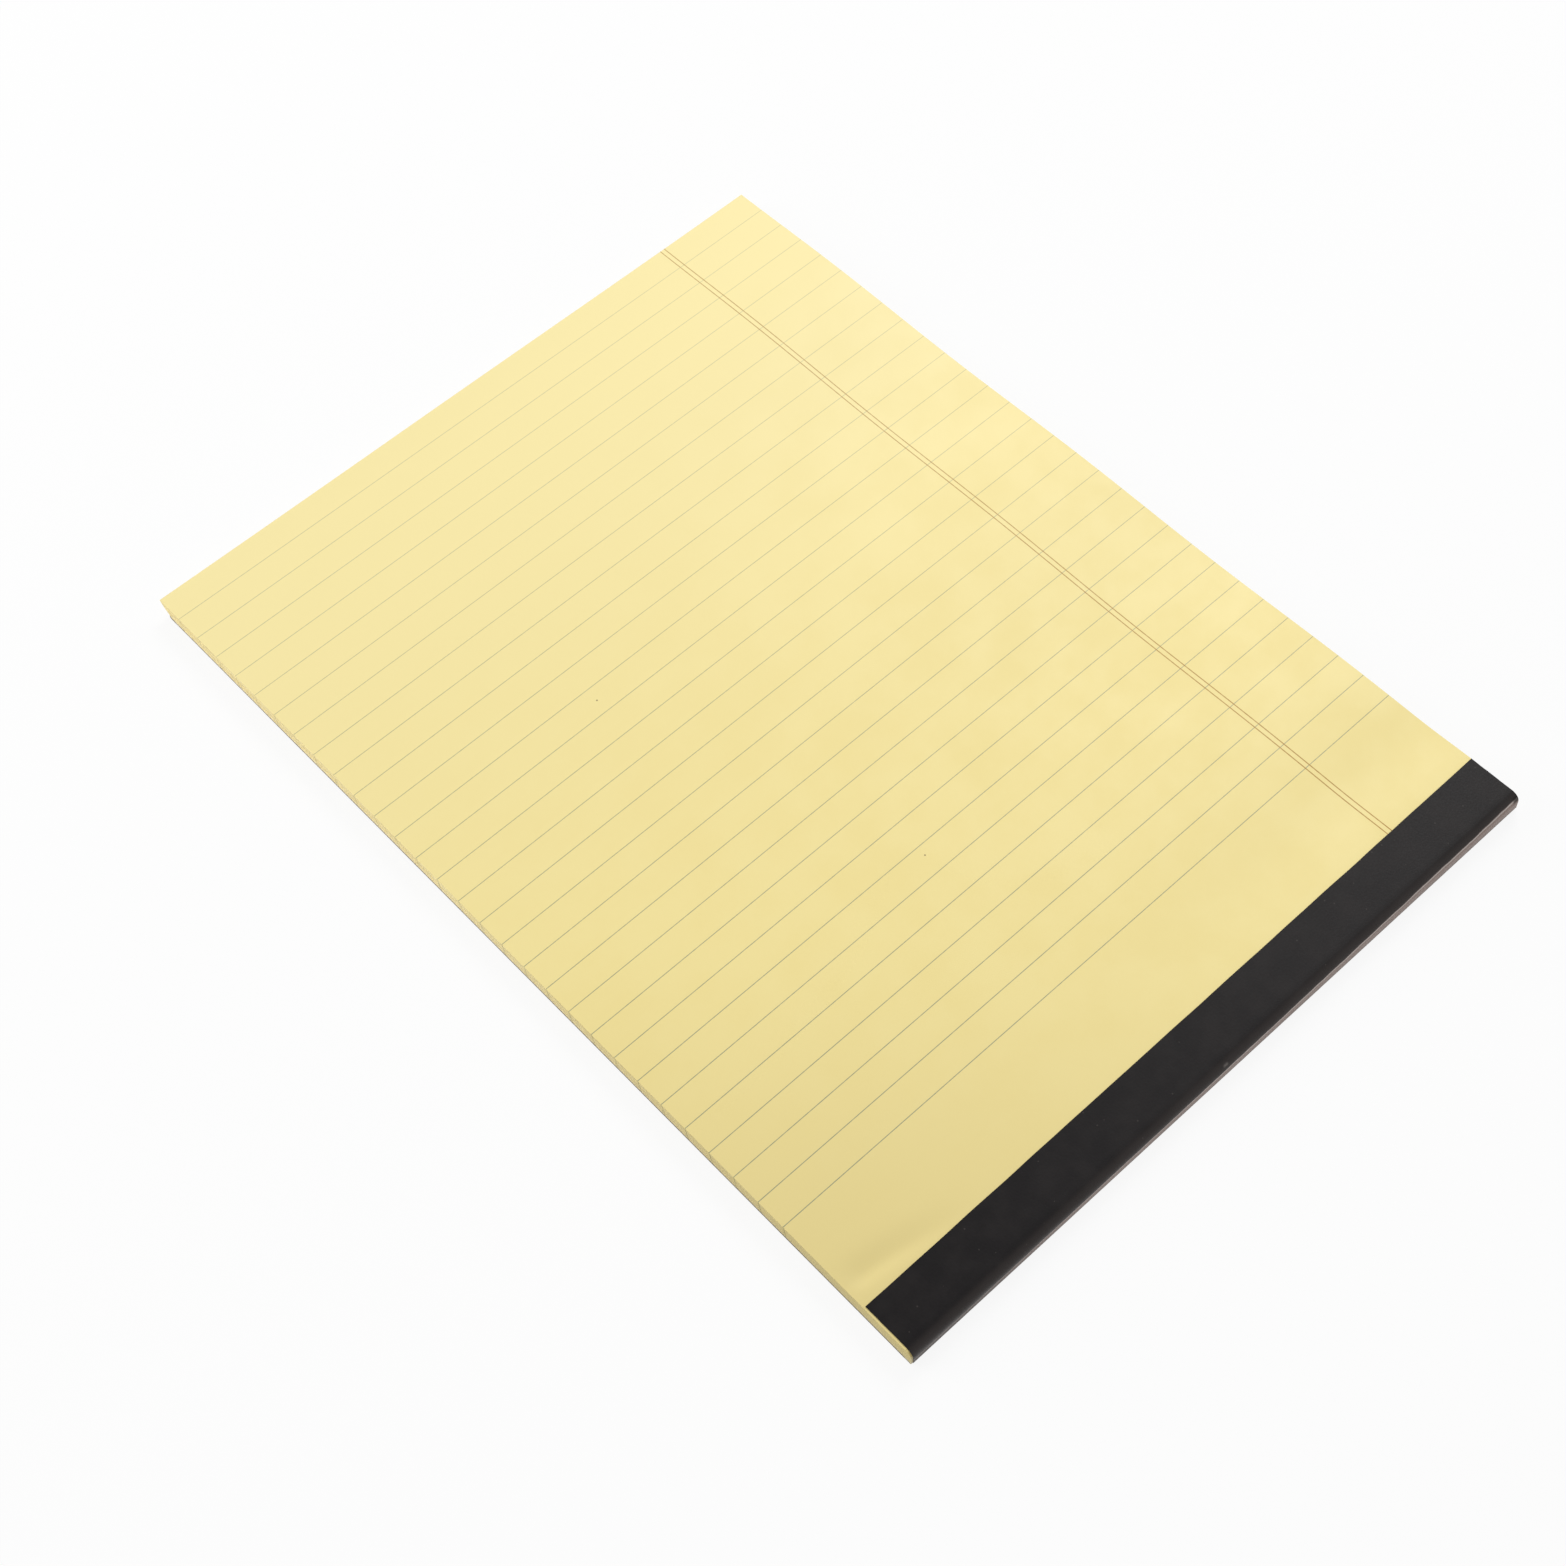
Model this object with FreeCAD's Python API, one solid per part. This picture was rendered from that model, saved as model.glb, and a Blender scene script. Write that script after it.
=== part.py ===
import FreeCAD, Part
import math
import os

os.makedirs("parts", exist_ok=True)

# A ruled writing pad lying flat, in millimetres.
# +X is the page's right side, +Y its head, where the tape is, and +Z is up.
# The origin is on the table, under the middle of the pad.

# Driving dimensions
pad_width = 214.0
pad_length = 295.0  # from the foot edge of the top sheet to the outside of the tape
sheet_count = 50
sheet_pitch = 0.104  # one sheet and the air above it
board_thickness = 0.7
glue_thickness = 0.25
tape_thickness = 0.16
tape_top_reach = 15.8  # from the outside of the spine to the edge of the top flap
tape_bottom_reach = 15.8  # the same, for the flap under the board
tape_side_inset = 0.3  # the tape is trimmed this far short of each side of the sheets
shoulder_radius = 2.4  # where the head edges of the upper sheets turn down under the tape
heel_radius = 0.8  # where the tape turns under the board
foot_lean = 0.8  # the lowest sheet and the board sit this much nearer the head than the top sheet

# Levels, from the table up
board_under = tape_thickness
board_top = board_under + board_thickness
stack_top = board_top + sheet_count * sheet_pitch

# Places along the length, from the foot to the head
foot_edge_top = -pad_length / 2
foot_edge_bottom = foot_edge_top + foot_lean
spine_outside = pad_length / 2
spine_inside = spine_outside - tape_thickness
trimmed_heads = spine_inside - glue_thickness
flap_edge_top = spine_outside - tape_top_reach
flap_edge_bottom = spine_outside - tape_bottom_reach


def corner_arc(centre_y, centre_z, radius, middle_angle):
    """A quarter circle in the side view, whose middle lies at the given angle."""
    angles = [math.radians(middle_angle + turn) for turn in (-45, 0, 45)]
    points = [
        FreeCAD.Vector(0, centre_y + radius * math.cos(angle), centre_z + radius * math.sin(angle))
        for angle in angles
    ]
    return Part.Arc(*points).toShape()


def line(start, end):
    """A straight edge between two (y, z) places of the side view."""
    return Part.LineSegment(FreeCAD.Vector(0, *start), FreeCAD.Vector(0, *end)).toShape()


def wrap(top_end, bottom_end, offset):
    """The edges around the bound end in the side view, from the top over the shoulder, down the
    spine and round the heel to the underside, moved outwards by an offset."""
    face = spine_inside + offset
    top = stack_top + offset
    bottom = board_under - offset
    shoulder = shoulder_radius + offset
    heel = heel_radius + offset
    return [
        line((top_end, top), (face - shoulder, top)),
        corner_arc(face - shoulder, top - shoulder, shoulder, 45),
        line((face, top - shoulder), (face, bottom + heel)),
        corner_arc(face - heel, bottom + heel, heel, -45),
        line((face - heel, bottom), (bottom_end, bottom)),
    ]


def extrude(edges, width):
    """A solid with the side view that the edges close, centred across the pad."""
    outline = Part.Wire(Part.sortEdges(edges)[0])
    face = Part.Face(outline)
    face.translate(FreeCAD.Vector(-width / 2, 0, 0))
    return face.extrude(FreeCAD.Vector(width, 0, 0))


def bound_stack():
    """Everything that the tape wraps, as one block: sheets, board and glue."""
    foot = line((foot_edge_top, stack_top), (foot_edge_bottom, board_under))
    return extrude(wrap(foot_edge_top, foot_edge_bottom, 0) + [foot], pad_width)


def share(block, y_range, z_range):
    """The share of a block between two places along the length and two levels."""
    size = (pad_width, y_range[1] - y_range[0], z_range[1] - z_range[0])
    corner = FreeCAD.Vector(-pad_width / 2, y_range[0], z_range[0])
    return block.common(Part.makeBox(*size, corner)).Solids[0]


def binding_tape():
    """One strip of tape: top flap, shoulder, spine, heel and bottom flap."""
    inside = wrap(flap_edge_top, flap_edge_bottom, 0)
    outside = wrap(flap_edge_top, flap_edge_bottom, tape_thickness)
    top_edge = line((flap_edge_top, stack_top), (flap_edge_top, stack_top + tape_thickness))
    bottom_edge = line((flap_edge_bottom, board_under), (flap_edge_bottom, board_under - tape_thickness))
    return extrude(inside + [top_edge] + outside + [bottom_edge], pad_width - 2 * tape_side_inset)


stack = bound_stack()
pieces = {
    "backing_board": share(stack, (foot_edge_top, trimmed_heads), (board_under, board_top)),
    "ruled_sheets": share(stack, (foot_edge_top, trimmed_heads), (board_top, stack_top)),
    "padding_glue": share(stack, (trimmed_heads, spine_inside), (board_under, stack_top)),
    "binding_tape": binding_tape(),
}

for name, shape in pieces.items():
    box = shape.BoundBox
    print(
        name,
        "valid" if shape.isValid() else "NOT VALID",
        f"volume {shape.Volume:.1f} mm3,",
        f"y {box.YMin:.2f} to {box.YMax:.2f}, z {box.ZMin:.2f} to {box.ZMax:.2f}",
    )
    shape.exportStep(f"parts/{name}.step")
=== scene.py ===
# %% [markdown]
# A yellow ruled writing pad, seen from above its bound end. The solids of the pad come ready made,
# in metres, with the origin on the table under the middle of the pad. X runs to the page's right,
# Y to the head where the tape is, and Z up. This script only gives the pieces their finish: thin
# single sheets in the stack, printed rules, a soft board and a grained tape.

# %% Load the solids
import math

import bmesh
import bpy
from mathutils import Matrix, Vector, noise


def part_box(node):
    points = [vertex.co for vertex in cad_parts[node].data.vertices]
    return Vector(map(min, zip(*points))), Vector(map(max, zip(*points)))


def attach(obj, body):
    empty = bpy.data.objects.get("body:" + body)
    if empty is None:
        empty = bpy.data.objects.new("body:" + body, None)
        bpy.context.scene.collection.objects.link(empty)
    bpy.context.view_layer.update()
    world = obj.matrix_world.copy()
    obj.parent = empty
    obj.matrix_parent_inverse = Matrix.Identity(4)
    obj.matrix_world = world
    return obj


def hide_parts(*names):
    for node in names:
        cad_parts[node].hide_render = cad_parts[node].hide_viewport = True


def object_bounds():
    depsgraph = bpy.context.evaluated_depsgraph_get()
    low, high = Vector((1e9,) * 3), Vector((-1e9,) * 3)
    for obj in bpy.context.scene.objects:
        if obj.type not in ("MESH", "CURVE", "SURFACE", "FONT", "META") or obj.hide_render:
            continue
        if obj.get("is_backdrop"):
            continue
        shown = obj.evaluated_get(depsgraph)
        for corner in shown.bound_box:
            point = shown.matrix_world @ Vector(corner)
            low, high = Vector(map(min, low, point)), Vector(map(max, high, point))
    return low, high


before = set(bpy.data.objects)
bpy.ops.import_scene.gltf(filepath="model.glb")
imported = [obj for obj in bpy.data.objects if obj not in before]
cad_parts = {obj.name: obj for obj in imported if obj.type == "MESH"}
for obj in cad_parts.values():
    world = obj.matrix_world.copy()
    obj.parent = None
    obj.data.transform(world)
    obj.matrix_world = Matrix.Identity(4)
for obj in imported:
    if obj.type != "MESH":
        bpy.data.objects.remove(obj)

cad_box = [list(corner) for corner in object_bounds()]
print("solids:", sorted(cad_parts), "box:", cad_box)

# %% [markdown]
# Every piece is measured from the solids, so nothing has to be fitted by eye. The low and high
# corners of each node give the levels of the stack and the places along its length. A box shows no
# radius and no number of sheets, so those are written here as the solids have them.

# %% Measure the pad
MM = 0.001
sheets_low, sheets_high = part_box("ruled_sheets")
board_low, board_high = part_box("backing_board")
glue_low, glue_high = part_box("padding_glue")
tape_low, tape_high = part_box("binding_tape")

half_width = sheets_high.x
foot_edge = sheets_low.y
foot_lean = board_low.y - foot_edge
trimmed_heads = glue_low.y
spine_inside = glue_high.y
spine_outside = tape_high.y
flap_edge = tape_low.y
tape_thickness = tape_high.z - sheets_high.z
stack_base = sheets_low.z
stack_top = sheets_high.z
shoulder_radius = 2.4 * MM
heel_radius = 0.8 * MM
sheet_count = 50
print(f"sheets {(stack_top - stack_base) / MM:.2f} mm high, tape {tape_thickness / MM:.2f} mm thick")

# %% [markdown]
# Node trees are long to write one node at a time. A small wrapper lets a formula stand as it would
# on paper: adding, subtracting or multiplying two of these values makes the Math node for it.
# The same wrapper serves shader trees and geometry trees, because both know the Math node.


# %% Write formulas as node trees
def connect(tree, value, socket):
    """Feed a socket from another node, or set it to a constant."""
    if isinstance(value, Wire):
        tree.links.new(value.socket, socket)
    else:
        socket.default_value = value


def place(tree, kind, settings=None, inputs=None):
    """Add one node with its settings, and feed its inputs by name or number."""
    made = tree.nodes.new(kind)
    for name, value in (settings or {}).items():
        setattr(made, name, value)
    for name, value in (inputs or {}).items():
        connect(tree, value, made.inputs[name])
    return made


class Wire:
    """A number that flows through a node tree."""

    def __init__(self, tree, socket):
        self.tree = tree
        self.socket = socket

    def calculate(self, operation, *others):
        inputs = dict(enumerate((self, *others)))
        made = place(self.tree, "ShaderNodeMath", {"operation": operation}, inputs)
        return Wire(self.tree, made.outputs[0])

    def __add__(self, other):
        return self.calculate("ADD", other)

    def __sub__(self, other):
        return self.calculate("SUBTRACT", other)

    def __mul__(self, other):
        return self.calculate("MULTIPLY", other)

    def __truediv__(self, other):
        return self.calculate("DIVIDE", other)

    def __rsub__(self, other):
        return self * -1.0 + other

    def size(self):
        return self.calculate("ABSOLUTE")

    def at_least(self, other):
        return self.calculate("MAXIMUM", other)

    def at_most(self, other):
        return self.calculate("MINIMUM", other)

    def ramp(self, start, end, low=0.0, high=1.0):
        """Rises smoothly from low at start to high at end, and stays there."""
        inputs = {0: self, 1: start, 2: end, 3: low, 4: high}
        made = place(self.tree, "ShaderNodeMapRange", {"interpolation_type": "SMOOTHSTEP"}, inputs)
        return Wire(self.tree, made.outputs[0])

    def hump(self, middle, reach):
        """A bell of height 1 at the middle that has faded out about two reaches away."""
        away = (self - middle) / reach
        return (away * away * -1.0).calculate("EXPONENT")


def output(node, name=0):
    return Wire(node.id_data, node.outputs[name])


def parts_of(tree, vector):
    """The X, Y and Z of a vector, as three values."""
    made = place(tree, "ShaderNodeSeparateXYZ", None, {0: vector})
    return [output(made, axis) for axis in "XYZ"]


def vector_of(tree, x, y, z):
    return output(place(tree, "ShaderNodeCombineXYZ", None, {0: x, 1: y, 2: z}))


print("formula helpers ready")

# %% [markdown]
# Colours are written as they look on a screen and turned into the linear values that Blender
# shades with, so each one can be compared with the real pad at a glance.


# %% Colours
def screen_colour(red, green, blue):
    """A colour given as 0 to 255 on a screen, in Blender's linear values."""
    def linear(level):
        level /= 255
        return level / 12.92 if level <= 0.04045 else ((level + 0.055) / 1.055) ** 2.4

    return (linear(red), linear(green), linear(blue), 1.0)


CANARY = screen_colour(249, 231, 157)
CANARY_SHADE = screen_colour(247, 228, 152)
CANARY_PAINTED_SHEEN = screen_colour(250, 234, 168)
CANARY_PAINTED_SHADE = screen_colour(235, 216, 145)
RULE_INK = screen_colour(104, 124, 112)
MARGIN_INK = screen_colour(172, 122, 14)
SPECK = screen_colour(120, 92, 58)
SHEET_EDGE = screen_colour(250, 239, 188)
SHEET_EDGE_DARK = screen_colour(226, 206, 146)
SHEET_EDGE_PALE = screen_colour(250, 240, 212)
SHEET_EDGE_KHAKI = screen_colour(196, 180, 118)
SHEET_EDGE_BROWN_LINE = screen_colour(206, 164, 96)
EDGE_INK = screen_colour(112, 112, 70)
BOARD_GREY = screen_colour(158, 148, 132)
BOARD_DARK = screen_colour(104, 95, 84)
FLAKE_PALE = screen_colour(226, 222, 206)
TAPE_BLACK = screen_colour(31, 28, 28)
TAPE_PAINTED_SHADE = screen_colour(21, 18, 19)
TAPE_WORN_AND_LIT = screen_colour(104, 97, 94)
SPINE_SCUFFED_AND_LIT = screen_colour(170, 149, 140)
CREASE_LIGHT = screen_colour(214, 204, 198)
FACET_PAINTED_SHADE = screen_colour(10, 9, 9)
GLUE_AMBER = screen_colour(196, 180, 132)
print("paper", [round(channel, 3) for channel in CANARY[:3]])

# %% [markdown]
# The camera stands beyond the head, to the page's right, and looks down at about 58 degrees. Its
# place, the spot that it looks at, its small roll and its lens were worked out from the corners
# and the ruled lines of the pad at its real width and length.

# %% Camera
IMAGE_SIDE = 1566
SENSOR_WIDTH = 36.0
FOCAL_PIXELS = 2654.5
camera_place = Vector((0.2490, 0.2975, 0.5869))
camera_target = Vector((0.02447, 0.01435, 0.0060))
camera_roll = math.radians(-4.85)


def add_camera():
    lens = bpy.data.cameras.new("camera")
    lens.sensor_width = SENSOR_WIDTH
    lens.lens = FOCAL_PIXELS / IMAGE_SIDE * SENSOR_WIDTH
    camera = bpy.data.objects.new("camera", lens)
    level = (camera_target - camera_place).to_track_quat("-Z", "Y").to_matrix().to_4x4()
    rolled = level @ Matrix.Rotation(camera_roll, 4, "Z")
    camera.matrix_world = Matrix.Translation(camera_place) @ rolled
    bpy.context.scene.collection.objects.link(camera)
    bpy.context.scene.camera = camera
    return camera


camera = add_camera()
print(f"lens {camera.data.lens:.1f} mm")

# %% [markdown]
# Two sheets of paper never lie quite alike. One geometry tree makes any run of the stack: it puts
# a thin closed sheet at each level, lets every sheet slip a little at its free end, follows the
# rounded shoulder at the head, and bends the sheets over the same soft waves. The waves fade
# towards the card, which is stiff and stays flat. The tree is used twice: coarse for the sheets
# below, and fine for the top sheet, whose gentle waves catch the light.
#
# The waves come first, as formulas for a place on the page. A long one runs along each side, the
# page dips at the foot, and the tape holds everything flat at the head.

# %% The waves of the paper
margin_wave_height = 0.85 * MM
margin_wave_length = 98 * MM
margin_wave_low = 42 * MM
right_wave_height = 0.30 * MM
right_wave_length = 190 * MM
right_wave_low = -10 * MM
wave_overlap = 20 * MM
foot_dip = 0.50 * MM
foot_dip_reach = 34 * MM
tape_grip = 20 * MM


def paper_waves(x, y):
    """How far the paper lies below its flat level, for a place on the page."""
    def wave(low_place, length, height):
        turn = (y - low_place) * (2 * math.pi / length)
        return (turn.calculate("COSINE") * 0.5 + 0.5) * height

    on_margin_side = wave(margin_wave_low, margin_wave_length, margin_wave_height)
    on_right_side = wave(right_wave_low, right_wave_length, right_wave_height)
    waves = on_margin_side * x.ramp(wave_overlap, -half_width)
    waves = waves + on_right_side * x.ramp(-wave_overlap, half_width)
    across = x / half_width
    dip = (1.0 - across * across) * y.hump(foot_edge, foot_dip_reach)
    free = y.ramp(flap_edge + 1 * MM, flap_edge - tape_grip)
    return (waves * free + dip * foot_dip) * -1.0


print(f"waves of {margin_wave_height / MM:.2f} mm every {margin_wave_length / MM:.0f} mm")

# %% [markdown]
# On the page's right the top sheet has buckled beside the tape that holds it. The crease runs out
# from the tape at a slant, falls slowly from the foot side and rises quickly to the tape. A coarse
# sheet can't follow so narrow a crease and would poke through it, so the sheets below get a wider
# and softer hollow instead.

# %% The buckle beside the tape
buckle_depth = 0.40 * MM
buckle_start_gap = 0.8 * MM
buckle_end_gap = 6.2 * MM
buckle_foot_reach = 4.0 * MM
buckle_tape_reach = 2.1 * MM
buckle_turn = 1.5 * MM
buckle_start = 66 * MM
buckle_full = half_width - 5 * MM
hollow_depth = 0.60 * MM
hollow_gap = 5 * MM
hollow_reach = 9 * MM
hollow_start = buckle_start - 25 * MM
hollow_full = half_width - 30 * MM
calm_strip = 6 * MM
calm_share = 0.25


def near_side_calm(x):
    """At the very edge of the page the sheets lie almost flat again."""
    return x.ramp(half_width - calm_strip, half_width, 1.0, calm_share)


def hollow_shape(x, y):
    """The wider, softer hollow of the sheets under the crease."""
    across_page = x.ramp(hollow_start, hollow_full) * near_side_calm(x)
    return (flap_edge - y).hump(hollow_gap, hollow_reach) * across_page


def buckle_shape(x, y):
    """The crease beside the tape: a slow fall from the foot side, then a quick rise."""
    gap = x.ramp(buckle_start, half_width, buckle_start_gap, buckle_end_gap)
    beyond = (flap_edge - y) - gap
    reach = beyond.ramp(-buckle_turn, buckle_turn, buckle_tape_reach, buckle_foot_reach)
    across_page = x.ramp(buckle_start, buckle_full) * near_side_calm(x)
    return (beyond / reach).hump(0.0, 1.0) * across_page


print(f"buckle {buckle_depth / MM:.2f} mm deep over a hollow of {hollow_depth / MM:.2f} mm")

# %% [markdown]
# The tree of a run of sheets is built in three parts, and a function stands for each. The first
# lays flat sheets of length 1 at their levels. Each keeps its level, its slip and its tint as
# attributes, because an instance forgets its number once it has become real mesh.


# %% First part of the tree: flat sheets
def keep_number(tree, name, value, geometry):
    inputs = {"Geometry": geometry, "Name": name, "Value": value}
    return output(place(tree, "GeometryNodeStoreNamedAttribute", {"data_type": "FLOAT"}, inputs))


def kept_number(tree, name):
    settings = {"data_type": "FLOAT"}
    return output(place(tree, "GeometryNodeInputNamedAttribute", settings, {"Name": name}))


def flat_sheets(tree, given):
    """A thin closed box as wide as the page and of length 1, at each level of the run."""
    number = output(place(tree, "GeometryNodeInputIndex")) + output(given, "First Sheet")
    slip = output(given, "Slip")

    def chance(low, high, shift):
        inputs = {2: low, 3: high, "ID": number, "Seed": output(given, "Seed") + shift}
        return output(place(tree, "FunctionNodeRandomValue", {"data_type": "FLOAT"}, inputs), 1)

    stations = output(place(tree, "GeometryNodeMeshLine", {"mode": "OFFSET"}, {
        "Count": output(given, "Sheets"), "Offset": (0.0, 0.0, 0.0),
    }))
    level = (number + 0.5) * output(given, "Pitch") + stack_base
    stations = keep_number(tree, "level", level, stations)
    stations = keep_number(tree, "slip_x", chance(-1.0, 1.0, 1.0) * slip, stations)
    stations = keep_number(tree, "slip_y", chance(0.0, 1.0, 2.0) * slip, stations)
    stations = keep_number(tree, "tint", chance(0.0, 1.0, 3.0), stations)

    sheet = place(tree, "GeometryNodeMeshCube", None, {
        "Size": vector_of(tree, 2 * half_width, 1.0, output(given, "Thickness")),
        "Vertices X": output(given, "Columns"),
        "Vertices Y": output(given, "Rows"),
        "Vertices Z": 2,
    })
    laid = place(tree, "GeometryNodeInstanceOnPoints", None, {
        "Points": stations, "Instance": output(sheet),
    })
    return output(place(tree, "GeometryNodeRealizeInstances", None, {0: output(laid)}))


print("first part ready")

# %% [markdown]
# The second part gives every sheet its real length and place, and bends it. Columns crowd towards
# the page's right and rows towards the foot, where the bends are tight. The corner there has had a
# knock at the bottom, so the sheets near the card are pushed in, and those near the top are not.
# The knock reaches a small share of the sheet's length along the page, and a little way across.

# %% Second part of the tree: bend the sheets
corner_crowding = 1.6
bump_share = 0.012
bump_reach = 2.4 * MM
bump_across = 0.25 * MM
bump_along = 1.9 * MM
bump_fade = 2.0


def head_of(level):
    """How far towards the head a sheet reaches: less where the shoulder is rounded."""
    up_the_shoulder = (level - (stack_top - shoulder_radius)).at_least(0.0)
    across_squared = shoulder_radius ** 2 - up_the_shoulder * up_the_shoulder
    rounded_head = across_squared.at_least(0.0).calculate("SQRT") + (spine_inside - shoulder_radius)
    return rounded_head.at_most(trimmed_heads)


def bent_sheets(tree, given, flat):
    """The sheets at their real length, with slip, lean, knocked corner, waves and buckle."""
    x, share, z = parts_of(tree, output(place(tree, "GeometryNodeInputPosition")))
    share = (share + 0.5).at_least(0.0).calculate("POWER", output(given, "Foot Crowding"))
    from_right = ((half_width - x) / (2 * half_width)).at_least(0.0)
    x = half_width - from_right.calculate("POWER", corner_crowding) * (2 * half_width)
    x = x * ((half_width - output(given, "Slip")) / half_width)

    level = kept_number(tree, "level")
    depth = (stack_top - level) / (stack_top - stack_base)
    foot = depth * output(given, "Lean") + foot_edge
    looseness = 1.0 - share
    y = foot + (head_of(level) - foot) * share + kept_number(tree, "slip_y") * looseness
    x = x + kept_number(tree, "slip_x") * looseness

    at_corner = share.ramp(bump_share, 0.0) * x.ramp(half_width - bump_reach, half_width)
    bumped = at_corner * depth.calculate("POWER", bump_fade)
    x = x - bumped * bump_across
    y = y + bumped * bump_along

    flat_z = level + z
    dents = buckle_shape(x, y) * output(given, "Buckle")
    dents = dents + hollow_shape(x, y) * output(given, "Hollow")
    waved = (paper_waves(x, y) - dents) * (flat_z - stack_base) / (stack_top - stack_base)
    return output(place(tree, "GeometryNodeSetPosition", None, {
        "Geometry": flat, "Position": vector_of(tree, x, y, flat_z + waved),
    }))


print("second part ready")

# %% [markdown]
# The third part finishes the mesh. The faces are shaded smooth, and every edge that folds sharply
# is kept crisp, or the rounding of the light would run from the page down its cut sides. Then the
# pages and the cut edges get their own materials, told apart by the way that a face looks.

# %% Third part of the tree: shading and materials
sharp_fold = math.radians(40)


def finished_sheets(tree, given, bent):
    folds = output(place(tree, "GeometryNodeInputMeshEdgeAngle"))
    is_crisp = folds.calculate("GREATER_THAN", sharp_fold)
    smooth = place(tree, "GeometryNodeSetShadeSmooth", {"domain": "FACE"}, {
        "Geometry": bent, "Shade Smooth": True,
    })
    crisp = place(tree, "GeometryNodeSetShadeSmooth", {"domain": "EDGE"}, {
        "Geometry": output(smooth), "Selection": is_crisp, "Shade Smooth": False,
    })
    upward = parts_of(tree, output(place(tree, "GeometryNodeInputNormal")))[2]
    is_cut = output(place(tree, "FunctionNodeCompare", {"operation": "LESS_THAN"}, {
        0: upward.size(), 1: 0.5,
    }))
    faced = place(tree, "GeometryNodeSetMaterial", None, {
        "Geometry": output(crisp), "Material": output(given, "Face Material"),
    })
    return output(place(tree, "GeometryNodeSetMaterial", None, {
        "Geometry": output(faced), "Selection": is_cut, "Material": output(given, "Edge Material"),
    }))


def sheet_tree():
    tree = bpy.data.node_groups.new("run_of_sheets", "GeometryNodeTree")
    face = tree.interface
    face.new_socket(name="Geometry", in_out="INPUT", socket_type="NodeSocketGeometry")
    for name in ("Sheets", "First Sheet", "Columns", "Rows", "Seed"):
        face.new_socket(name=name, in_out="INPUT", socket_type="NodeSocketInt")
    for name in ("Pitch", "Thickness", "Slip", "Lean", "Foot Crowding", "Buckle", "Hollow"):
        face.new_socket(name=name, in_out="INPUT", socket_type="NodeSocketFloat")
    for name in ("Face Material", "Edge Material"):
        face.new_socket(name=name, in_out="INPUT", socket_type="NodeSocketMaterial")
    face.new_socket(name="Geometry", in_out="OUTPUT", socket_type="NodeSocketGeometry")
    given = place(tree, "NodeGroupInput")
    bent = bent_sheets(tree, given, flat_sheets(tree, given))
    place(tree, "NodeGroupOutput", None, {0: finished_sheets(tree, given, bent)})
    return tree


run_of_sheets = sheet_tree()
print(len(run_of_sheets.nodes), "nodes in the sheet tree")

# %% [markdown]
# A tree only works while it sits in a modifier. The modifier's inputs are set by their identifiers
# before anything is evaluated, then the result is copied to a plain mesh and the modifier goes.


# %% Turn a geometry tree into a plain mesh
def grow(name, tree, values):
    """Make one piece from a geometry tree with the given inputs, as a plain mesh."""
    holder = bpy.data.objects.new(name + "_source", bpy.data.meshes.new(name + "_source"))
    bpy.context.scene.collection.objects.link(holder)
    modifier = holder.modifiers.new("tree", "NODES")
    modifier.node_group = tree
    for item in tree.interface.items_tree:
        if item.in_out == "INPUT" and item.name in values:
            modifier[item.identifier] = values[item.name]
    bpy.context.view_layer.update()
    settled = holder.evaluated_get(bpy.context.evaluated_depsgraph_get())
    mesh = bpy.data.meshes.new_from_object(settled)
    mesh.name = name
    holder.modifiers.clear()
    bpy.data.objects.remove(holder)
    piece = bpy.data.objects.new(name, mesh)
    bpy.context.scene.collection.objects.link(piece)
    return piece


def count_triangles(piece):
    return sum(len(face.vertices) - 2 for face in piece.data.polygons)


print("ready to grow pieces")

# %% [markdown]
# Effects that several finishes share are node groups. Fibre is the cloudy, slightly felted look
# that paper and card have: large soft clouds, short fibres and a very fine grain. It puts out a
# cloud value for the colour and a height for the bump.


# %% Shared effect: fibre
def shader_group(name, inputs, outputs):
    tree = bpy.data.node_groups.new(name, "ShaderNodeTree")
    for label, kind in inputs:
        tree.interface.new_socket(name=label, in_out="INPUT", socket_type=kind)
    for label, kind in outputs:
        tree.interface.new_socket(name=label, in_out="OUTPUT", socket_type=kind)
    return tree, place(tree, "NodeGroupInput"), place(tree, "NodeGroupOutput")


NUMBER = "NodeSocketFloat"
VECTOR = "NodeSocketVector"


def fibre_group():
    inputs = [("Vector", VECTOR), ("Cloud Scale", NUMBER), ("Grain Scale", NUMBER)]
    tree, given, made = shader_group("fibre", inputs, [("Cloud", NUMBER), ("Height", NUMBER)])
    where = output(given, "Vector")

    def cloud(scale, detail):
        settings = {"noise_dimensions": "3D"}
        inputs = {"Vector": where, "Scale": scale, "Detail": detail, "Roughness": 0.6}
        return output(place(tree, "ShaderNodeTexNoise", settings, inputs), 0)

    soft = cloud(output(given, "Cloud Scale"), 4.0)
    grain = cloud(output(given, "Grain Scale"), 3.0)
    connect(tree, soft, made.inputs["Cloud"])
    connect(tree, grain * 0.8 + soft * 0.2, made.inputs["Height"])
    return tree


fibre = fibre_group()
print("fibre group made")

# %% [markdown]
# Specks are the odd dark fibres and dust dots that lie in cheap paper, board and tape. A Voronoi
# pattern gives one possible dot to each cell, and only the few cells with a high random value get
# one. The group puts out a mask.


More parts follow.
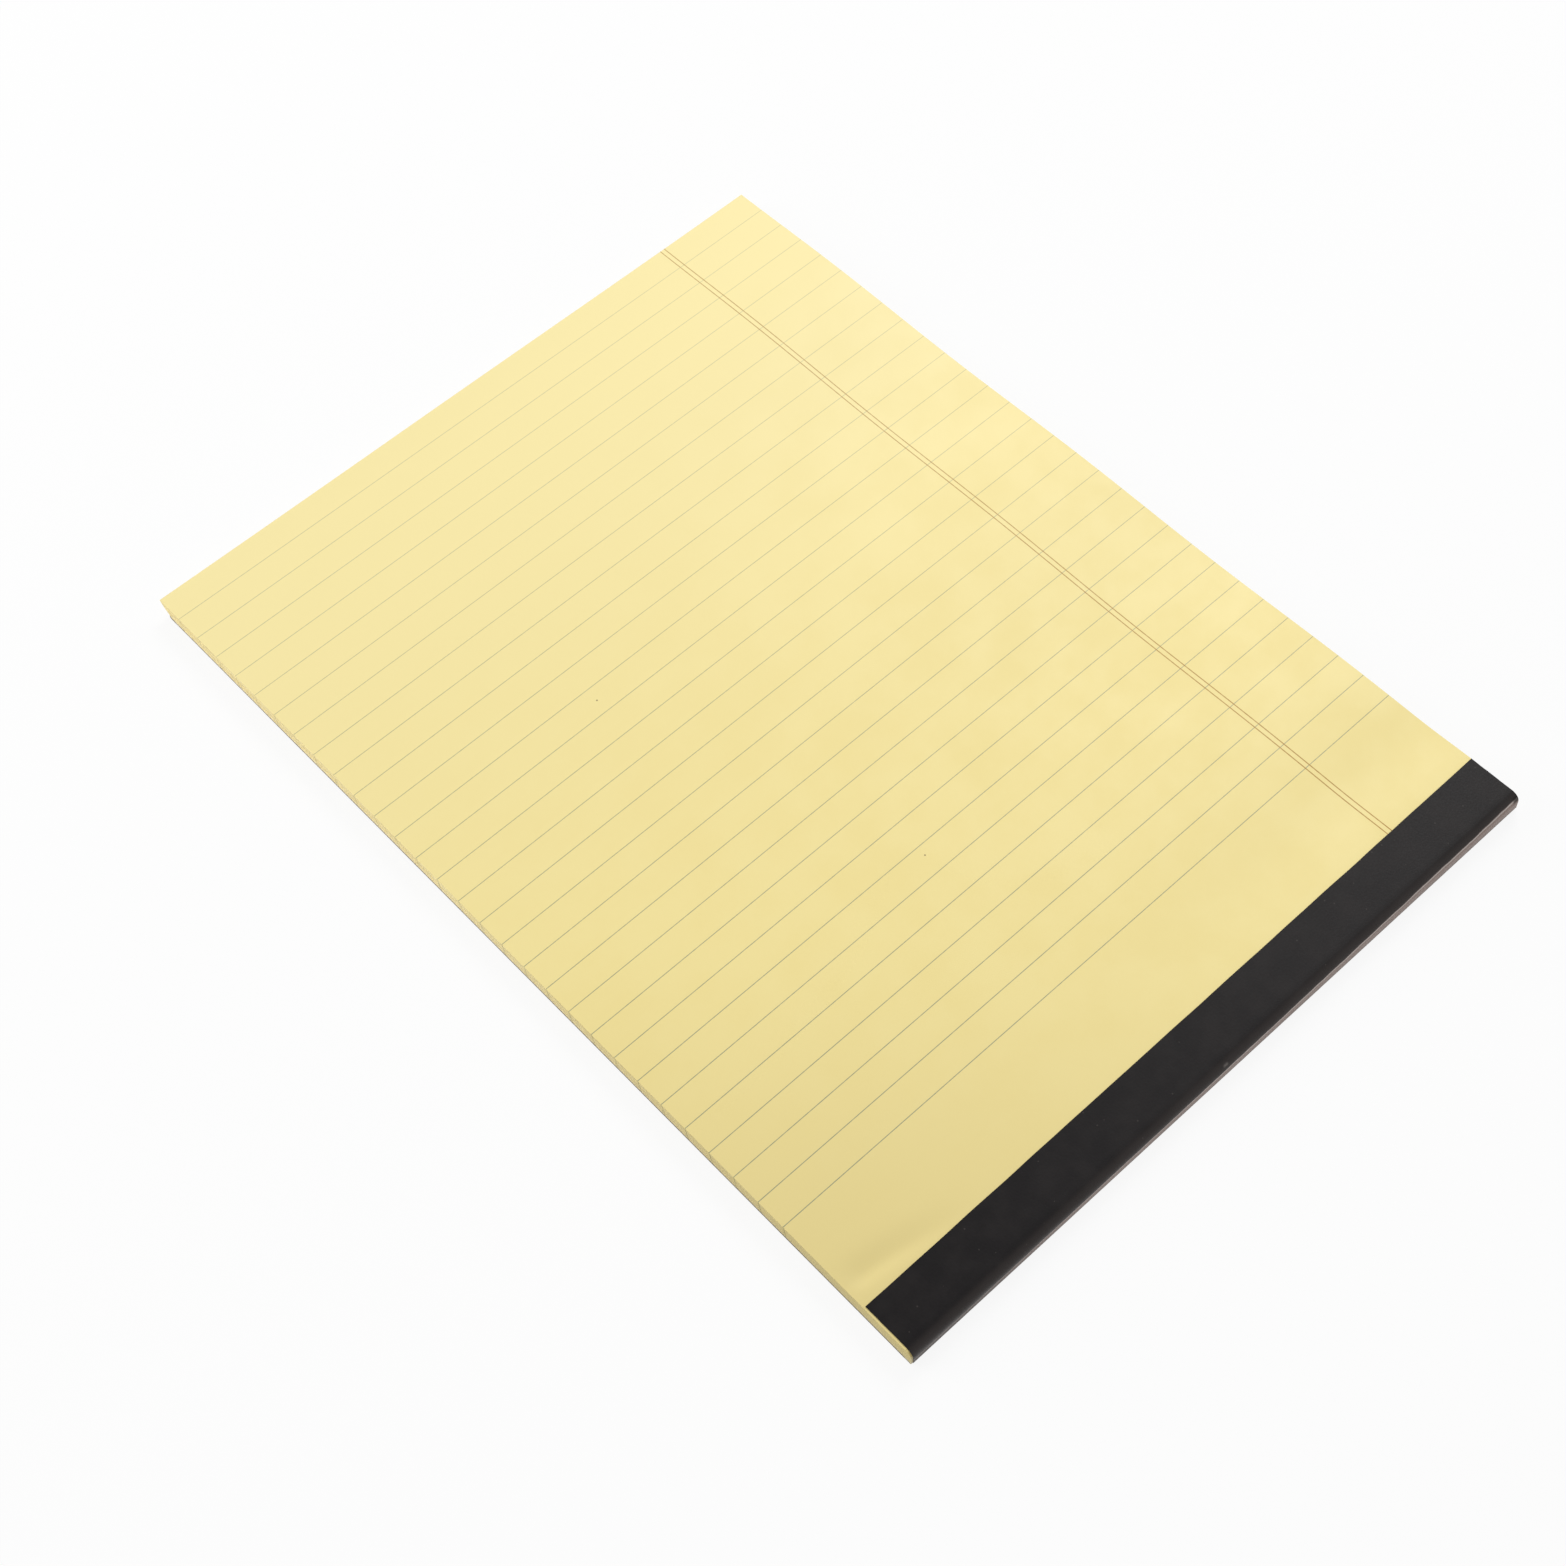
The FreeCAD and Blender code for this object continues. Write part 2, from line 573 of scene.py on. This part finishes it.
# %% Shared effect: specks
def speck_group():
    inputs = [("Vector", VECTOR), ("Scale", NUMBER), ("Size", NUMBER), ("Share", NUMBER)]
    tree, given, made = shader_group("specks", inputs, [("Mask", NUMBER)])
    cells = place(tree, "ShaderNodeTexVoronoi", {"feature": "F1"}, {
        "Vector": output(given, "Vector"), "Scale": output(given, "Scale"),
    })
    lot = parts_of(tree, output(cells, "Color"))[0]
    near = output(cells, "Distance").calculate("LESS_THAN", output(given, "Size"))
    connect(tree, near * lot.calculate("LESS_THAN", output(given, "Share")), made.inputs["Mask"])
    return tree


specks = speck_group()
print("specks group made")


# %% Helpers for materials
def new_material(name):
    """A material with a Principled shader, and the tree and object coordinates to feed it."""
    material = bpy.data.materials.new(name)
    material.use_nodes = True
    tree = material.node_tree
    shader = tree.nodes["Principled BSDF"]
    where = output(place(tree, "ShaderNodeTexCoord"), "Object")
    return material, tree, shader, where


def mix(tree, share, low, high):
    """One colour laid over another by a share from 0 to 1."""
    inputs = {0: share, 6: low, 7: high}
    return output(place(tree, "ShaderNodeMix", {"data_type": "RGBA"}, inputs), 2)


def use_group(tree, group, inputs):
    return place(tree, "ShaderNodeGroup", {"node_tree": group}, inputs)


def bump(tree, height, distance, strength=1.0):
    inputs = {"Height": height, "Distance": distance, "Strength": strength}
    return output(place(tree, "ShaderNodeBump", None, inputs))


print("material helpers ready")

# %% [markdown]
# The rules are printed ink, so they belong in the paper's material. They are a group of their own,
# because the cut edges need them too. The page is measured from its foot and its left edge. A
# distance to the nearest rule comes from the remainder of the place along the page divided by the
# pitch, and a narrow ramp turns it into a line with soft sides. The print is weaker towards the
# foot and the left. The lines run off both sides, so the cut edges of the sheets show their ink as
# small marks, which lean with the stack.

# %% The ruling of the page
rule_pitch = 8.67 * MM
rule_count = 29
first_rule = foot_edge + 9.03 * MM
rule_width = 0.24 * MM
margin_places = (-half_width + 30.8 * MM, -half_width + 32.3 * MM)
margin_width = 0.30 * MM
ink_softness = 0.05 * MM
faint_slant = 0.55
faint_from = flap_edge + 30 * MM
faint_to = foot_edge - 40 * MM
faint_rules = 0.60
faint_margins = 0.25


def stroke(distance, width):
    """The ink of a line, for the distance to its middle."""
    return distance.ramp(width / 2 + ink_softness, width / 2 - ink_softness)


def rule_ink(y):
    turns = (y - first_rule) / rule_pitch
    nearest = turns.calculate("ROUND").at_least(0.0).at_most(rule_count - 1.0)
    return stroke((turns - nearest).size() * rule_pitch, rule_width)


def margin_ink(x):
    first, second = [stroke((x - middle).size(), margin_width) for middle in margin_places]
    return first.at_least(second)


def ruling_group():
    """Masks of the rules and the margin lines, for a place on the page."""
    masks = [("Rules", NUMBER), ("Margins", NUMBER)]
    tree, given, made = shader_group("ruling", [("Vector", VECTOR)], masks)
    x, y, _ = parts_of(tree, output(given, "Vector"))
    faint = (x * faint_slant + y).ramp(faint_to, faint_from, 1.0, 0.0)
    connect(tree, rule_ink(y) * (1.0 - faint * faint_rules), made.inputs["Rules"])
    connect(tree, margin_ink(x) * (1.0 - faint * faint_margins), made.inputs["Margins"])
    return tree


ruling = ruling_group()
last_rule = first_rule + (rule_count - 1) * rule_pitch
print(f"{rule_count} rules, the last {(flap_edge - last_rule) / MM:.1f} mm from the tape")

# %% [markdown]
# Canary paper is matt, a little cloudy and full of short fibres. Its colour is painted paler
# towards the foot, a painted sheen, and painted darker at the head corner on the page's right, a
# painted shade; one flank of the buckle has painted shade too. Two specks of dust lie on it.
# Where the fibres take the ink badly, the lines are a little thin.

# %% Yellow paper
dust_specks = ((42.4 * MM, -38.8 * MM), (13.2 * MM, 55.2 * MM))
speck_radius = 0.30 * MM
rule_strength = 0.74
margin_strength = 0.95
painted_sheen_from = 60 * MM
painted_shade_from = 90 * MM
painted_shade_to = 260 * MM
buckle_shade_shift = 1.8 * MM


def paper_material():
    material, tree, shader, where = new_material("yellow_paper")
    x, y, _ = parts_of(tree, where)
    felt = use_group(tree, fibre, {"Vector": where, "Cloud Scale": 60.0, "Grain Scale": 2600.0})
    cloud = output(felt, "Cloud").ramp(0.3, 0.7)
    wear = output(use_group(tree, specks, {
        "Vector": where, "Scale": 34.0, "Size": 0.008, "Share": 0.05,
    }))
    patchy = output(place(tree, "ShaderNodeTexNoise", None, {"Vector": where, "Scale": 900.0}), 0)
    ink = patchy.ramp(0.25, 0.6, 0.8, 1.0)
    lines = use_group(tree, ruling, {"Vector": where})
    colour = mix(tree, cloud, CANARY, CANARY_SHADE)
    # Painted sheen: the colour is paler towards the foot, where the lamps' glare falls.
    colour = mix(tree, y.ramp(painted_sheen_from, foot_edge), colour, CANARY_PAINTED_SHEEN)
    # Painted shade: the colour is darker towards the head corner on the page's right.
    colour = mix(tree, (x + y).ramp(painted_shade_from, painted_shade_to), colour, CANARY_PAINTED_SHADE)
    # Painted shade along one flank of the buckle beside the tape.
    colour = mix(tree, buckle_shape(x, y + buckle_shade_shift), colour, CANARY_PAINTED_SHADE)
    colour = mix(tree, output(lines, "Rules") * ink * rule_strength, colour, RULE_INK)
    colour = mix(tree, output(lines, "Margins") * ink * margin_strength, colour, MARGIN_INK)
    colour = mix(tree, wear * 0.4, colour, SHEET_EDGE_DARK)
    for speck_x, speck_y in dust_specks:
        away = (x - speck_x) * (x - speck_x) + (y - speck_y) * (y - speck_y)
        spot = away.ramp(speck_radius ** 2, speck_radius ** 2 * 0.3)
        colour = mix(tree, spot * 0.75, colour, SPECK)
    connect(tree, colour, shader.inputs["Base Color"])
    connect(tree, output(felt, "Cloud").ramp(0.2, 0.8, 0.40, 0.50), shader.inputs["Roughness"])
    connect(tree, bump(tree, output(felt, "Height"), 0.02 * MM, 0.6), shader.inputs["Normal"])
    shader.inputs["Specular IOR Level"].default_value = 0.45
    return material


paper = paper_material()
print("paper", len(paper.node_tree.nodes), "nodes")

# %% [markdown]
# A guillotine cuts the sides of the stack. Every sheet has its own tint there, and bunches of
# sheets are lighter or darker together, which a noise squeezed in height gives. The sides are pale
# low down, and towards the head they are painted darker and khaki, as painted shade. A thin
# orange-brown line lies just under the top sheet at the foot. The ends of the rules show as dark
# marks.

# %% Cut edges of the sheets
bunch_flatness = 30.0
pale_above = 4.4 * MM
pale_below = 1.4 * MM
head_shade_slant = 0.3
head_shade_from = -20 * MM
head_shade_to = 165 * MM
brown_line_depth = 0.35 * MM
brown_line_width = 0.2 * MM
brown_line_from = 60 * MM


def sheet_edge_material():
    material, tree, shader, where = new_material("cut_sheet_edges")
    x, y, z = parts_of(tree, where)
    tint = output(place(tree, "ShaderNodeAttribute", {"attribute_name": "tint"}), "Fac")
    stretched = place(tree, "ShaderNodeMapping", {"vector_type": "POINT"}, {0: where})
    stretched.inputs["Scale"].default_value = (1.0, 1.0, bunch_flatness)
    bunches = output(place(tree, "ShaderNodeTexNoise", None, {
        "Vector": output(stretched), "Scale": 60.0, "Detail": 3.0,
    }), 0)
    shade = (tint * 0.55 + bunches.ramp(0.35, 0.7) * 0.6).at_most(1.0)
    below_top = z * -1.0 + stack_top
    leaned_back = y - below_top * (foot_lean / (stack_top - stack_base))
    on_page = vector_of(tree, 0.0, leaned_back, 0.0)
    marks = output(use_group(tree, ruling, {"Vector": on_page}), "Rules")
    colour = mix(tree, shade, SHEET_EDGE, SHEET_EDGE_DARK)
    colour = mix(tree, z.ramp(pale_above, pale_below) * 0.7, colour, SHEET_EDGE_PALE)
    # Painted shade: the cut sides are darker and khaki towards the head.
    painted_head_shade = (y + x * head_shade_slant).ramp(head_shade_from, head_shade_to)
    colour = mix(tree, painted_head_shade * 0.75, colour, SHEET_EDGE_KHAKI)
    # A thin orange-brown line just under the top sheet, towards the foot.
    brown_line = below_top.hump(brown_line_depth, brown_line_width) * y.ramp(brown_line_from, foot_edge)
    colour = mix(tree, brown_line * 0.14, colour, SHEET_EDGE_BROWN_LINE)
    colour = mix(tree, marks * 0.8, colour, EDGE_INK)
    connect(tree, colour, shader.inputs["Base Color"])
    connect(tree, bump(tree, bunches, 0.05 * MM, 0.5), shader.inputs["Normal"])
    shader.inputs["Roughness"].default_value = 0.85
    return material


sheet_edges = sheet_edge_material()
print("cut edges", len(sheet_edges.node_tree.nodes), "nodes")

# %% [markdown]
# Forty-nine sheets lie under the top one. Each is a closed thin solid, a little thinner than the
# pitch of the stack, so that a hair of air stays between them. The top sheet is the same tree
# again with many more columns and rows. Only the top sheet has the buckle, and only the sheets
# below have the hollow that makes room for it.

# %% Lay the sheets
sheet_pitch = (stack_top - stack_base) / sheet_count
sheet_thickness = 0.100 * MM
lower_sheets = grow("lower_sheets", run_of_sheets, {
    "Sheets": sheet_count - 1,
    "First Sheet": 0,
    "Columns": 15,
    "Rows": 60,
    "Seed": 11,
    "Pitch": sheet_pitch,
    "Thickness": sheet_thickness,
    "Slip": 0.05 * MM,
    "Lean": foot_lean,
    "Foot Crowding": 1.15,
    "Buckle": 0.0,
    "Hollow": hollow_depth,
    "Face Material": paper,
    "Edge Material": sheet_edges,
})
top_sheet = grow("top_sheet", run_of_sheets, {
    "Sheets": 1,
    "First Sheet": sheet_count - 1,
    "Columns": 90,
    "Rows": 260,
    "Seed": 5,
    "Pitch": sheet_pitch,
    "Thickness": sheet_thickness,
    "Slip": 0.0,
    "Lean": foot_lean,
    "Foot Crowding": 1.0,
    "Buckle": buckle_depth,
    "Hollow": 0.0,
    "Face Material": paper,
    "Edge Material": sheet_edges,
})
for piece in (lower_sheets, top_sheet):
    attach(piece, "root")
    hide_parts("ruled_sheets")
    print(piece.name, count_triangles(piece), "triangles")

# %% [markdown]
# The board is grey chipboard: pressed waste paper with short fibres, dark specks, pale flakes and
# softly broken edges. It is a flat plate, and a first bevel on one upright edge rounds the corner
# that has had the knock. A second and finer one softens every edge, so that it catches light.


# %% Grey board
def board_material():
    material, tree, shader, where = new_material("grey_board")
    felt = use_group(tree, fibre, {"Vector": where, "Cloud Scale": 110.0, "Grain Scale": 1500.0})
    dots = output(use_group(tree, specks, {
        "Vector": where, "Scale": 420.0, "Size": 0.24, "Share": 0.12,
    }))
    flakes = output(use_group(tree, specks, {
        "Vector": where, "Scale": 150.0, "Size": 0.16, "Share": 0.08,
    }))
    colour = mix(tree, output(felt, "Height").ramp(0.3, 0.7), BOARD_GREY, BOARD_DARK)
    colour = mix(tree, dots * 0.45, colour, BOARD_DARK)
    colour = mix(tree, flakes * 0.5, colour, FLAKE_PALE)
    connect(tree, colour, shader.inputs["Base Color"])
    connect(tree, bump(tree, output(felt, "Height"), 0.06 * MM, 0.7), shader.inputs["Normal"])
    shader.inputs["Roughness"].default_value = 0.9
    return material


grey_board = board_material()
print("board", len(grey_board.node_tree.nodes), "nodes")

# %% Cut the board
board_rounding = 0.12 * MM
bumped_corner = 2.6 * MM


def stands_at_bumped_corner(edge):
    """True for the upright edge at the foot, on the page's right."""
    first, second = [corner.co for corner in edge.verts]
    upright = abs((first - second).z) > 0.5 * board_rounding
    return upright and max(first.x, second.x) > 0 > max(first.y, second.y)


def plate(name, low, high, material):
    """A flat closed plate between two corners, with its edges and one corner rounded."""
    mesh = bpy.data.meshes.new(name)
    shape = bmesh.new()
    bmesh.ops.create_cube(shape, size=1.0)
    for corner in shape.verts:
        for axis in range(3):
            corner.co[axis] = high[axis] if corner.co[axis] > 0 else low[axis]
    bumped = [edge for edge in shape.edges if stands_at_bumped_corner(edge)]
    bevel = {"affect": "EDGES", "profile": 0.5}
    bmesh.ops.bevel(shape, geom=bumped, offset=bumped_corner, segments=5, **bevel)
    bmesh.ops.bevel(shape, geom=shape.edges[:], offset=board_rounding, segments=2, **bevel)
    bmesh.ops.recalc_face_normals(shape, faces=shape.faces[:])
    shape.to_mesh(mesh)
    shape.free()
    mesh.materials.append(material)
    mesh.shade_smooth()
    piece = bpy.data.objects.new(name, mesh)
    bpy.context.scene.collection.objects.link(piece)
    return piece


card = plate("chipboard", board_low, board_high, grey_board)
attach(card, "root")
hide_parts("backing_board")
print("board", count_triangles(card), "triangles")

# %% [markdown]
# The glue film keeps its own solid: its shape is right, and only its ends show, as a thin line
# between the sheets and the tape. Dried padding glue is dull amber and faintly glossy.


# %% Padding glue
def glue_material():
    material, tree, shader, where = new_material("padding_compound")
    film = use_group(tree, fibre, {"Vector": where, "Cloud Scale": 300.0, "Grain Scale": 1200.0})
    colour = mix(tree, output(film, "Cloud"), GLUE_AMBER, SHEET_EDGE_KHAKI)
    connect(tree, colour, shader.inputs["Base Color"])
    connect(tree, bump(tree, output(film, "Height"), 0.05 * MM, 0.5), shader.inputs["Normal"])
    shader.inputs["Roughness"].default_value = 0.4
    return material


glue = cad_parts["padding_glue"]
glue.data.materials.clear()
glue.data.materials.append(glue_material())
print("glue keeps its solid")

# %% [markdown]
# The tape is one strip of charcoal binding paper. Its side view is followed as a path: along the
# top sheet, over the shoulder, down the spine, round the heel and back under the board. A grid is
# laid along that path and across the pad, then given its thickness. Its cut edges waver by a
# tenth of a millimetre, as a slit strip does. The grain of its skin is left to the material.

# %% The tape's path
tape_edge_waver = 0.10 * MM
tape_shift = -0.25 * MM
flap_steps = 10
bend_steps = 8
spine_steps = 5
tape_columns = 160


def tape_path(offset):
    """Points (y, z) around the bound end, at an offset outwards from the stack."""
    face = spine_inside + offset
    top = stack_top + offset
    bottom = board_low.z - offset
    shoulder = shoulder_radius + offset
    heel = heel_radius + offset

    def bend(centre_y, centre_z, radius, start):
        for step in range(bend_steps + 1):
            angle = math.radians(start - 90 * step / bend_steps)
            yield centre_y + radius * math.cos(angle), centre_z + radius * math.sin(angle)

    points = []
    for step in range(flap_steps):
        share = step / flap_steps
        points.append((flap_edge + (face - shoulder - flap_edge) * share, top))
    points.extend(bend(face - shoulder, top - shoulder, shoulder, 90))
    for step in range(1, spine_steps):
        share = step / spine_steps
        points.append((face, (top - shoulder) * (1 - share) + (bottom + heel) * share))
    points.extend(bend(face - heel, bottom + heel, heel, 0))
    for step in range(1, flap_steps + 1):
        share = step / flap_steps
        points.append((face - heel + (flap_edge - face + heel) * share, bottom))
    return points


print(len(tape_path(0.0)), "points in the tape's path")


# %% Build the tape
def build_tape(material):
    mesh = bpy.data.meshes.new("head_tape")
    shape = bmesh.new()
    half = tape_high.x
    inner, outer = tape_path(0.0), tape_path(tape_thickness)
    last = len(inner) - 1
    skins = []
    for path in (inner, outer):
        rows = []
        for column in range(tape_columns + 1):
            x = half * (2 * column / tape_columns - 1) + tape_shift
            waver = tape_edge_waver * noise.noise(Vector((x * 90, 3.0, 7.0)))
            row = []
            for step, (y, z) in enumerate(path):
                at_flap_end = 1.0 if step in (0, last) else 0.0
                side = tape_edge_waver * noise.noise(Vector((y * 300, z * 300, 1.0)))
                edge_pull = side if column in (0, tape_columns) else 0.0
                inwards = math.copysign(abs(edge_pull), x)
                row.append(shape.verts.new((x - inwards, y + waver * at_flap_end, z)))
            rows.append(row)
        skins.append(rows)
    under, over = skins
    for column in range(tape_columns):
        for step in range(last):
            for rows, flip in ((under, True), (over, False)):
                corners = [rows[column][step], rows[column + 1][step],
                           rows[column + 1][step + 1], rows[column][step + 1]]
                shape.faces.new(corners[::-1] if flip else corners)
        for step in (0, last):
            shape.faces.new([under[column][step], under[column + 1][step],
                             over[column + 1][step], over[column][step]])
    for column in (0, tape_columns):
        for step in range(last):
            shape.faces.new([under[column][step], under[column][step + 1],
                             over[column][step + 1], over[column][step]])
    bmesh.ops.recalc_face_normals(shape, faces=shape.faces[:])
    for face in shape.faces:
        face.smooth = True
    for edge in shape.edges:
        edge.smooth = edge.calc_face_angle(0.0) < sharp_fold
    shape.to_mesh(mesh)
    shape.free()
    mesh.materials.append(material)
    piece = bpy.data.objects.new("head_tape", mesh)
    bpy.context.scene.collection.objects.link(piece)
    return piece


print("ready to build the tape,", tape_columns, "columns across")

# %% [markdown]
# The tape is charcoal, with a soft sheen and a fine grain, and its wear is at the bound end. Its
# colour is painted darker towards the page's right, a painted shade. The spine has been scuffed to a
# brownish grey below a light crease that climbs slowly to the page's left, and less so near the
# right; that grey is painted paler than the wear alone, as painted light, and darker near the floor,
# as painted shade. Above it the shoulder is painted lighter, a painted light where the sheen leaves
# it, and it has a nick and a facet with painted shade.

# %% Wear, painted light and painted shade of the tape
crease_level = 4.0 * MM
crease_slope = 0.0115
crease_width = 0.34 * MM
crease_waver = 0.5 * MM
crease_offset = 0.15 * MM
nick_place = 1.6 * MM
nick_level = 5.35 * MM
facet_shade_level = 5.0 * MM


def towards_spine(y, start, end):
    """Rises from 0 to 1 between two distances from the spine's outside."""
    return y.ramp(spine_outside - start, spine_outside - end)


def scuffs_light_and_crease(tree, where):
    """Masks of the scuffed lower spine, partly real wear and partly painted light, with painted
    shade near the floor, and of the light crease above it.
    """
    x, y, z = parts_of(tree, where)
    on_spine = towards_spine(y, 1.3 * MM, 0.9 * MM)
    patchy = output(place(tree, "ShaderNodeTexNoise", None, {"Vector": where, "Scale": 260.0}), 0)
    below = crease_level - z - x * crease_slope + (patchy - 0.5) * crease_waver
    along = x.ramp(half_width, 0.4 * half_width, 0.22, 1.0)
    # Painted shade: the scuffs are weaker near the floor.
    shade_near_floor = z.ramp(0.3 * MM, 1.9 * MM, 0.55, 1.0)
    scuffs_and_light = on_spine * below.ramp(-0.30 * MM, crease_offset) * along * shade_near_floor
    line = stroke((below - crease_offset).size(), crease_width)
    crease = on_spine * line * x.ramp(half_width, 0.0, 0.3, 1.0)
    return scuffs_and_light, crease


def nick_and_facet_shade(tree, where):
    """Masks of the small nick at the shoulder and of the painted shade on a facet at the tape's far
    end.
    """
    x, y, z = parts_of(tree, where)
    nick = towards_spine(y, 2.0 * MM, 1.2 * MM) * z.hump(nick_level, 0.25 * MM)
    nick = nick * (x - nick_place).size().ramp(1.1 * MM, 0.3 * MM)
    # Painted shade on a facet at the tape's far end.
    facet_shade = (x + half_width).ramp(2.6 * MM, 1.2 * MM) * towards_spine(y, 1.6 * MM, 0.8 * MM)
    return nick, facet_shade * z.hump(facet_shade_level, 0.9 * MM)


print(f"crease {crease_level / MM:.1f} mm up at the middle")


# %% The tape's finish
def tape_material():
    material, tree, shader, where = new_material("black_tape")
    x, y, _ = parts_of(tree, where)
    skin = use_group(tree, fibre, {"Vector": where, "Cloud Scale": 140.0, "Grain Scale": 1900.0})
    flecks = output(use_group(tree, specks, {
        "Vector": where, "Scale": 900.0, "Size": 0.2, "Share": 0.035,
    }))
    scuffs_and_light, crease = scuffs_light_and_crease(tree, where)
    nick, facet_shade = nick_and_facet_shade(tree, where)
    # Painted light: the shoulder is painted lighter, where the lamps' sheen leaves it.
    painted_shoulder_light = towards_spine(y, 2.8 * MM, 0.5 * MM) * 0.30
    # Painted shade: the tape's colour is darker towards the page's right.
    colour = mix(tree, x.ramp(-half_width, half_width), TAPE_BLACK, TAPE_PAINTED_SHADE)
    colour = mix(tree, output(skin, "Cloud").ramp(0.35, 0.7) * 0.04, colour, TAPE_WORN_AND_LIT)
    colour = mix(tree, painted_shoulder_light, colour, TAPE_WORN_AND_LIT)
    colour = mix(tree, flecks * 0.2, colour, TAPE_WORN_AND_LIT)
    # Real scuffs, painted paler than wear alone as painted light.
    colour = mix(tree, scuffs_and_light * 0.8, colour, SPINE_SCUFFED_AND_LIT)
    colour = mix(tree, crease * 0.85, colour, CREASE_LIGHT)
    colour = mix(tree, nick * 0.2, colour, CREASE_LIGHT)
    # Painted shade on the facet at the tape's far end.
    colour = mix(tree, facet_shade * 0.85, colour, FACET_PAINTED_SHADE)
    shader.inputs["Specular IOR Level"].default_value = 0.16
    connect(tree, colour, shader.inputs["Base Color"])
    connect(tree, output(skin, "Height").ramp(0.3, 0.7, 0.40, 0.52), shader.inputs["Roughness"])
    connect(tree, bump(tree, output(skin, "Height"), 0.05 * MM, 0.55), shader.inputs["Normal"])
    return material


tape = build_tape(tape_material())
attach(tape, "root")
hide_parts("binding_tape")
print("tape", count_triangles(tape), "triangles")

# %% [markdown]
# The pad lies on plain white. The floor is an ordinary matt surface that keeps the pad's soft
# shadow, and the camera sees a little extra light from it, so that it reads as white without more
# light falling on the paper. From below the floor is clear, so that the underside can be seen.

# %% Floor
floor_side = 6.0
FLOOR_WHITE = screen_colour(250, 250, 250)
PAGE_WHITE = screen_colour(254, 254, 254)
floor_lift = 0.9


def add_floor():
    mesh = bpy.data.meshes.new("floor")
    half = floor_side / 2
    corners = [(-half, -half, 0), (half, -half, 0), (half, half, 0), (-half, half, 0)]
    mesh.from_pydata(corners, [], [(0, 1, 2, 3)])
    material, tree, shader, _ = new_material("white_floor")
    shader.inputs["Base Color"].default_value = FLOOR_WHITE
    shader.inputs["Roughness"].default_value = 0.9
    shader.inputs["Specular IOR Level"].default_value = 0.0
    path = place(tree, "ShaderNodeLightPath")
    seen = output(path, "Is Camera Ray").at_least(output(path, "Is Glossy Ray"))
    seen = seen.at_least(output(path, "Is Transmission Ray"))
    glow = place(tree, "ShaderNodeEmission", None, {"Color": PAGE_WHITE, "Strength": 1.0})
    lifted = {0: seen * floor_lift, 1: output(shader), 2: output(glow)}
    both = place(tree, "ShaderNodeMixShader", None, lifted)
    clear = place(tree, "ShaderNodeBsdfTransparent")
    below = output(place(tree, "ShaderNodeNewGeometry"), "Backfacing")
    sided = place(tree, "ShaderNodeMixShader", None, {0: below, 1: output(both), 2: output(clear)})
    connect(tree, output(sided), tree.nodes["Material Output"].inputs["Surface"])
    mesh.materials.append(material)
    floor = bpy.data.objects.new("floor", mesh)
    bpy.context.scene.collection.objects.link(floor)
    return floor


floor = add_floor()
floor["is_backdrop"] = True
print("floor", floor_side, "m wide")

# %% [markdown]
# The light is that of a bright white room: an even sky from all round, a large soft lamp beyond the
# foot on the page's left, and a lower, weaker one beyond the foot on the page's right. So the far
# corner of the page is the brightest, and the near corner by the tape the darkest; painted sheen and
# painted shade in the paper's colour add to both.

# %% Lights
sky_strength = 0.46
lamp_power = 18.0
lamp_side = 0.84
lamp_place = Vector((-1.22, -0.70, 1.20))
fill_power = 11.0
fill_side = 1.0
fill_place = Vector((0.95, -1.00, 0.50))
lamp_target = Vector((0.0, 0.0, 0.0))


def add_sky():
    world = bpy.data.worlds.new("white_room")
    bpy.context.scene.world = world
    world.use_nodes = True
    tree = world.node_tree
    sky = tree.nodes["Background"]
    sky.inputs["Color"].default_value = (1.0, 1.0, 1.0, 1.0)
    path = place(tree, "ShaderNodeLightPath")
    seen = output(path, "Is Camera Ray")
    connect(tree, seen * (1.0 - sky_strength) + sky_strength, sky.inputs["Strength"])


def add_lamp(name, power, side, where):
    light = bpy.data.lights.new(name, "AREA")
    light.energy = power
    light.size = side
    lamp = bpy.data.objects.new(name, light)
    lamp.location = where
    lamp.rotation_euler = (lamp_target - where).to_track_quat("-Z", "Y").to_euler()
    bpy.context.scene.collection.objects.link(lamp)


add_sky()
add_lamp("soft_lamp", lamp_power, lamp_side, lamp_place)
add_lamp("fill_lamp", fill_power, fill_side, fill_place)
bpy.context.scene.view_settings.view_transform = "Standard"
print("sky", sky_strength, "lamps", lamp_power, "and", fill_power, "W")

# %% [markdown]
# Last, the box of the solids and the box of the dressed pad are printed. The dressed pad is meant
# to lie inside the box of its solids.

# %% Print the size
visual_box = [list(corner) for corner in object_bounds()]
for name, box in (("solids", cad_box), ("dressed", visual_box)):
    print(name, [[round(value / MM, 2) for value in corner] for corner in box])
